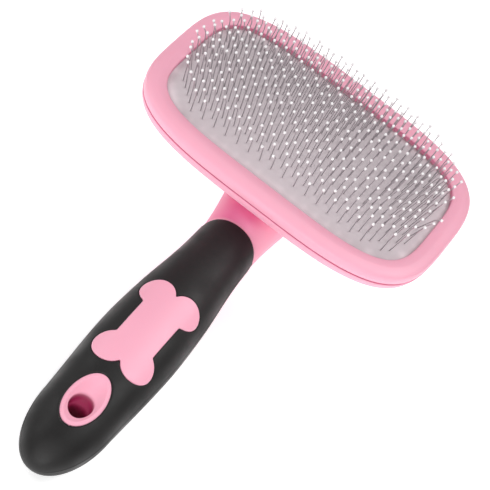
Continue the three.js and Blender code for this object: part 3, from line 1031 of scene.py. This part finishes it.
@dataclass
class Handle:
    """The soft grip, the bone inlay and the hanging eyelet, drawn in the grip's own frame."""

    size: HandleSize
    trim: TrimSize
    placed: Placed
    finishes: Finishes

    def to_head(self, points: Array) -> Array:
        """Points of the grip's frame turned by its tilt and moved to the collar's middle."""
        tilt = math.radians(self.size.tilt_degrees)
        x, y, z = points[..., 0], points[..., 1], points[..., 2]
        turned_y = y * math.cos(tilt) - z * math.sin(tilt)
        turned_z = y * math.sin(tilt) + z * math.cos(tilt)
        return np.stack([x, turned_y + self.size.collar_y, turned_z + self.size.collar_z], -1)

    def taper(self, y: Array, offset: float = 0.0) -> Array:
        """Share of the full section left at y: the butt is a quarter of an ellipse."""
        size = self.size
        into = np.clip((size.butt_start - y) / (size.butt_length + offset), 0, 1)
        return np.sqrt(np.clip(1 - into**2, 0, 1))

    def surface(self, x: Array, y: Array, offset: float = 0.0, side: int = 1) -> Array:
        """Height of the grip's upper (side 1) or lower (side -1) face over a point of its plan.

        The section is |x / width|^n + |z / height|^n = 1 round the midline.
        """
        size = self.size
        share = self.taper(y, offset)
        width = (along(size.half_width, y) + offset) * share
        height = (along(size.half_height, y) + offset) * share
        left = np.clip(1 - np.abs(x / width) ** size.roundness, 0, 1) ** (1 / size.roundness)
        return along(size.midline, y) + side * height * left

    def over(self, flat: Array, offset: float, lower: Array | float = 0.0, side: int = 1) -> Array:
        """Places (n, 2) of the plan on the grip's face grown by offset, lowered a little, as (n, 3)."""
        return np.column_stack([flat, self.surface(flat[:, 0], flat[:, 1], offset, side) - lower])

    def bone_distance(self, x: Array, y: Array) -> Array:
        """Distance outside the bone's outline, negative inside: four lobes joined by a shaft."""
        trim = self.trim
        across, length = np.abs(x), np.abs(y - trim.bone_y)
        lobes = np.hypot(across - trim.lobe_x, length - trim.lobe_y) - trim.lobe_radius
        shaft = np.maximum(across - trim.waist, length - trim.lobe_y)
        return np.minimum(lobes, shaft)

    def low_hole_y(self) -> float:
        """Where the hole, which is upright on the floor and passes hole_y at hole_top, comes out below."""
        low = float(self.surface(np.zeros(1), np.array([self.trim.hole_y]), side=-1)[0])
        return self.trim.hole_y + (low - self.trim.hole_top) * math.tan(math.radians(self.size.tilt_degrees))

    def oval(self, count: int, grown: float = 0.0) -> Array:
        """The dish's oval outline, grown outwards by a little, as (count, 2)."""
        trim = self.trim
        half = [trim.dish_half_width + grown, trim.dish_half_length + grown]
        return unit_circle(count) * half + [0, trim.dish_y]

    def oval_distance(self, x: Array, y: Array) -> Array:
        """About the distance outside the dish's oval, negative inside.

        It is r(r - 1)/g, with r the oval's own radius of the place and g the length of its slope.
        """
        trim = self.trim
        across, length = x / trim.dish_half_width, (y - trim.dish_y) / trim.dish_half_length
        radius = np.maximum(np.hypot(across, length), SMALL)
        slope = np.hypot(across / trim.dish_half_width, length / trim.dish_half_length)
        return radius * (radius - 1) / np.maximum(slope, SMALL)

    def grip_rings(self) -> Array:
        """The grip's sections from its rounded collar edge to the butt, as (ring, point, 3).

        A fine ridge runs along each side where the halves of the grip's mould met.
        """
        size = self.size
        edge = size.collar_edge
        turn = np.linspace(0, np.pi / 2, size.edge_rings)
        collar = -edge * (1 - np.cos(turn))
        straight = np.linspace(-edge, size.butt_start, size.straight_rings + 1)[1:]
        butt_turn = np.linspace(0, np.pi / 2, size.butt_rings + 2)[1:-1]
        y = np.concatenate([collar, straight, size.butt_start - size.butt_length * np.sin(butt_turn)])
        offset = np.zeros(len(y))
        offset[: size.edge_rings] = -edge * (1 - np.sin(turn))
        angle = circle_angles(size.points, 0.5)
        cosine, sine = squared_circle(angle, size.roundness)
        share = self.taper(y)
        off_ridge = (np.abs(np.cos(angle)) - math.cos(size.ridge_angle)) / size.ridge_width
        ridge = size.ridge_height * np.exp(-(off_ridge**2)) * (angle < np.pi)
        width = ((along(size.half_width, y) + offset) * share)[:, None] + ridge
        rise = ((along(size.half_height, y) + offset) * share)[:, None] * sine
        fade = np.clip(1 + y / size.collar_fade, 0, 1)
        lean = math.tan(math.radians(size.collar_lean_degrees)) * fade
        middle = along(size.midline, y)[:, None]
        return np.stack([width * cosine, y[:, None] + rise * lean[:, None], middle + rise], 2)

    def build_grip(self) -> bpy.types.Object:
        """The grip's skin, sunk under the inlay and the eyelet, and open where the eyelet's tube is.

        The skin dips by a rounded step inside the outline of the bone and of the eyelet, grown by
        the groove. Faces that would close the hole are left out; their edges lie inside the eyelet.
        """
        trim = self.trim
        rings = self.grip_rings()
        x, y, z = rings[..., 0], rings[..., 1], rings[..., 2]
        middle = along(self.size.midline, y)
        upper = z > middle
        dish, bone = self.oval_distance(x, y), self.bone_distance(x, y)
        tube = np.hypot(x, y - self.low_hole_y()) - trim.eyelet_radius
        nearest = np.where(upper, np.minimum(bone, dish), tube) - trim.groove
        dip = np.where(bone < dish, trim.bone_dip, trim.eyelet_dip) * (1 - smooth_step(*trim.step, nearest))
        scale = 1 - dip / np.maximum(np.hypot(x, z - middle), SMALL)
        points, faces = capped_skin(self.to_head(np.stack([x * scale, y, middle + (z - middle) * scale], 2)))
        inside = np.append(np.where(upper, dish, tube) < -trim.open_inside, [False, False])
        faces = [group[~inside[group].all(1)] for group in faces]
        return make_mesh("grip_rubber", points, faces, self.placed, self.finishes.grip)

    def bone_outline(self, count: int) -> Array:
        """The bone's outline as an even loop with slightly softened corners, as (count, 2)."""
        trim = self.trim
        corner = math.degrees(math.asin(trim.lobe_x / trim.lobe_radius))
        under = math.degrees(math.acos((trim.waist - trim.lobe_x) / trim.lobe_radius))
        right = arc((trim.lobe_x, trim.lobe_y), trim.lobe_radius, -under, 90 + corner, 80)
        left = right[::-1] * [-1, 1]
        loop = even_loop(np.vstack([right, left[1:], -right, -left[1:]]), count)
        for _ in range(trim.corner_passes):
            loop = (np.roll(loop, 1, 0) + 2 * loop + np.roll(loop, -1, 0)) / 4
        return loop + [0, trim.bone_y]

    def build_bone(self) -> bpy.types.Object:
        """The bone inlay: a plate that follows the grip's top, proud of it, with a rounded edge."""
        trim = self.trim
        edge = trim.bone_edge
        outline = self.bone_outline(trim.bone_points)
        lengthwise = (outline[:, 1] - trim.bone_y) * trim.spine_share
        lengthwise = np.clip(lengthwise, -trim.spine_reach, trim.spine_reach) + trim.bone_y
        spine = np.column_stack([np.zeros(len(outline)), lengthwise])
        foot = toward(outline, spine, trim.bone_foot_inset)
        rings = [self.over(foot, 0.0, depth) for depth in trim.bone_depths]
        for turn in np.radians([0, 18, 36, 54, 72, 90]):
            flat = toward(outline, spine, edge * (1 - math.cos(turn)))
            rings.append(self.over(flat, trim.bone_proud, edge * (1 - math.sin(turn))))
        start = toward(outline, spine, edge)
        for share in np.linspace(0, 1, trim.bone_rings + 1)[1:]:
            rings.append(self.over(start * (1 - share) + spine * share, trim.bone_proud))
        points, faces = capped_skin(self.to_head(np.array(rings)), folded_end=True)
        return make_mesh("bone_inlay_trim", points, faces, self.placed, self.finishes.pink)

    def scoop(self, flat: Array) -> Array:
        """How far the dish's floor lies under the grip's surface at places (n, 2) of the plan.

        With r the place's own radius in the oval inside the border, the depth is (1 - r²) to the
        dish's power, times the dish's depth, so its edge is a soft crease.
        """
        trim = self.trim
        across = flat[:, 0] / (trim.dish_half_width - trim.dish_border)
        length = (flat[:, 1] - trim.dish_y) / (trim.dish_half_length - trim.dish_border)
        return trim.dish_depth * np.clip(1 - across**2 - length**2, 0, 1) ** trim.dish_power

    def dish_rings(self) -> list[Array]:
        """The eyelet's upper face: a flat border with a rounded edge, then the dish to its mouth."""
        trim = self.trim
        edge = trim.eyelet_edge
        outer, crease = self.oval(trim.eyelet_points), self.oval(trim.eyelet_points, -trim.dish_border)
        half_mouth = [trim.mouth_half_width, trim.mouth_half_length]
        mouth = unit_circle(trim.eyelet_points) * half_mouth + [0, trim.mouth_y]
        places = [(outer, depth) for depth in trim.border_depths]
        for turn in np.radians([0, 30, 60, 90]):
            places.append((toward(outer, crease, edge * (1 - math.cos(turn))), edge * (1 - math.sin(turn))))
        begin = toward(outer, crease, edge)
        places += [(begin * (1 - s) + crease * s, 0.0) for s in np.linspace(0, 1, 5)[1:]]
        places += [(crease * (1 - s) + mouth * s, 0.0) for s in np.linspace(0, 1, 30)[1:] ** 1.5]
        return [self.over(flat, -trim.eyelet_sink, self.scoop(flat) + depth) for flat, depth in places]

    def build_eyelet(self) -> bpy.types.Object:
        """The eyelet: an oval dish, with a flat border, over a tube that runs through the grip.

        The dish's lip rolls over in a quarter turn into the hole's throat. The painted shade grows
        over the lip and is full down the hole.
        """
        trim = self.trim
        edge, circle = trim.eyelet_edge, unit_circle(trim.eyelet_points)
        hole = trim.hole_radius * circle + [0, trim.hole_y]
        low_hole = trim.hole_radius * circle + [0, self.low_hole_y()]
        tube = trim.eyelet_radius * circle + [0, self.low_hole_y()]
        rings = self.dish_rings()
        # Painted shade: none on the dish, growing over the mouth's last rings into the throat.
        painted_shades = [0.0] * (len(rings) - len(trim.mouth_painted_shade)) + [*trim.mouth_painted_shade, *trim.throat_painted_shade]
        lip = rings[-1]
        throat = level(hole, lip[:, 2].mean() - trim.throat_depth)
        for turn in np.radians([12, 26, 42, 60, 78, 90]):
            plan = lip[:, :2] * math.cos(turn) + hole * (1 - math.cos(turn))
            height = lip[:, 2] * (1 - math.sin(turn)) + throat[:, 2] * math.sin(turn)
            rings.append(np.column_stack([plan, height]))
        low = self.over(low_hole, -trim.eyelet_sink, -edge, side=-1)
        rings += [throat * (1 - s) + low * s for s in np.linspace(0, 1, 8)[1:]]
        painted_shades += [1.0] * (len(rings) - len(painted_shades))
        rim = [(toward(low_hole, tube, edge), 0.0), (toward(tube, low_hole, edge), 0.0)]
        for flat, up in [*rim, (tube, edge), (tube, trim.eyelet_foot)]:
            rings.append(self.over(flat, -trim.eyelet_sink, -up, side=-1))
        painted_shades += [0.0] * (len(rings) - len(painted_shades))
        points, faces = looped_skin(self.to_head(np.array(rings)))
        # Painted shade down the hole, one value for each ring.
        depth = {"hole_painted_shade": np.repeat(painted_shades, trim.eyelet_points)}
        return make_mesh("eyelet_trim", points, faces, self.placed, self.finishes.eyelet, depth)

    def build(self) -> list[bpy.types.Object]:
        """Builds the grip, the bone and the eyelet, and lets them ride on the handle's body."""
        pieces = []
        for piece, node, slot in (
            (self.build_grip(), "grip_sleeve", "black_grip_rubber"),
            (self.build_bone(), "bone_inlay", "pink_plastic"),
            (self.build_eyelet(), "hang_eyelet", "pink_plastic"),
        ):
            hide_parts(node)
            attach(piece, Body.HANDLE.value)
            pieces.append(piece)
        return pieces


# ---- Studio ----


@dataclass(frozen=True)
class Lamp:
    """A soft rectangular light, placed round the brush."""

    name: str
    azimuth: float
    elevation: float
    distance_m: float
    size_m: float
    watts: float


@dataclass
class Studio:
    """The camera, the lights, the pale world and the floor."""

    placed: Placed
    lens_mm: float = 139.86
    azimuth: float = 7.859
    elevation: float = 45.682
    roll: float = 31.96
    aim_mm: tuple[float, float, float] = (7.281, -54.743, 0.0)
    distance_mm: float = 571.05
    sensor_mm: float = 36.0
    clip_m: Span = (0.05, 20.0)
    world_strength: float = 0.35
    floor_glow: float = 0.45
    floor_half_m: float = 6.0
    lamps: tuple[Lamp, ...] = (
        Lamp("key_softbox", 130, 60, 0.9, 0.6, 3.9),
        Lamp("left_softbox", -80, 40, 0.9, 0.5, 1.8),
        Lamp("near_softbox", 8, 26, 1.0, 0.5, 4.8),
    )

    def direction(self, azimuth: float, elevation: float) -> Vector:
        """Unit vector from the brush towards an azimuth from the handle's end, and an elevation."""
        a, e = math.radians(azimuth), math.radians(elevation)
        return Vector((math.sin(a) * math.cos(e), -math.cos(a) * math.cos(e), math.sin(e)))

    def build_camera(self) -> None:
        """A long-lens camera above the handle's end, rolled so that the handle runs down to the left."""
        data = bpy.data.cameras.new("camera")
        data.lens = self.lens_mm
        data.sensor_width = self.sensor_mm
        data.clip_start, data.clip_end = self.clip_m
        camera = bpy.data.objects.new("camera", data)
        back = self.direction(self.azimuth, self.elevation)
        aim = self.placed.origin + Vector(self.aim_mm) * MM
        camera.location = aim + back * (self.distance_mm * MM)
        right = (-back).cross(Vector((0, 0, 1))).normalized()
        upright = right.cross(-back)
        roll = math.radians(self.roll)
        across = right * math.cos(roll) + upright * math.sin(roll)
        up = back.cross(across)
        camera.matrix_world = Matrix([
            [across[i], up[i], back[i], camera.location[i]] for i in range(3)
        ] + [[0, 0, 0, 1]])
        bpy.context.scene.collection.objects.link(camera)
        bpy.context.scene.camera = camera

    def build_lamps(self) -> None:
        """The soft boxes, each facing the middle of the brush."""
        for lamp in self.lamps:
            data = bpy.data.lights.new(lamp.name, "AREA")
            data.shape = "SQUARE"
            data.size = lamp.size_m
            data.energy = lamp.watts
            light = bpy.data.objects.new(lamp.name, data)
            away = self.direction(lamp.azimuth, lamp.elevation)
            light.location = self.placed.origin + away * lamp.distance_m
            light.rotation_mode = "QUATERNION"
            light.rotation_quaternion = away.to_track_quat("Z", "Y")
            bpy.context.scene.collection.objects.link(light)

    def build_world(self) -> None:
        """An even, near-white surround."""
        world = bpy.data.worlds.new("pale_studio")
        world.use_nodes = True
        world.node_tree.nodes.clear()
        inputs = {"Color": linear("FFFFFF"), "Strength": self.world_strength}
        shade = add_node(world.node_tree, "ShaderNodeBackground", inputs)
        add_node(world.node_tree, "ShaderNodeOutputWorld", {"Surface": shade.outputs["Background"]})
        bpy.context.scene.world = world

    def build_floor(self) -> None:
        """A wide white floor just under the brush; its own glow keeps it even to the edges."""
        half = self.floor_half_m
        mesh = bpy.data.meshes.new("floor")
        corners = [(-half, -half, 0), (half, -half, 0), (half, half, 0), (-half, half, 0)]
        mesh.from_pydata(corners, [], [(0, 1, 2, 3)])
        mesh.materials.append(Finish("pale_floor", "FFFFFF", 0.9, glow=self.floor_glow).build())
        floor = bpy.data.objects.new("floor", mesh)
        bpy.context.scene.collection.objects.link(floor)

    def build(self) -> None:
        """Sets up the whole studio."""
        self.build_camera()
        self.build_lamps()
        self.build_world()
        self.build_floor()
        bpy.context.scene.view_settings.view_transform = "Standard"


def main() -> None:
    """Builds the brush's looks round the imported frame, sub-assembly by sub-assembly."""
    logging.basicConfig(level=logging.INFO, format="%(message)s")
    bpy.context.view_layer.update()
    head, handle = HeadSize(), HandleSize()
    placed = Placed(head)
    finishes = Finishes()
    pin_field = PinField(PinSize(), PadSize())
    pieces = Head(head, handle, placed, finishes).build()
    pieces += Cushion(head, pin_field, placed, finishes).build()
    pieces += Pins(pin_field, placed, finishes).build()
    pieces += Handle(handle, TrimSize(), placed, finishes).build()
    Studio(placed).build()
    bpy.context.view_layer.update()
    for piece in pieces:
        LOG.info("%s: %d faces, %s", piece.name, len(piece.data.polygons), piece.data.materials[0].name)


if __name__ == "__main__":
    main()
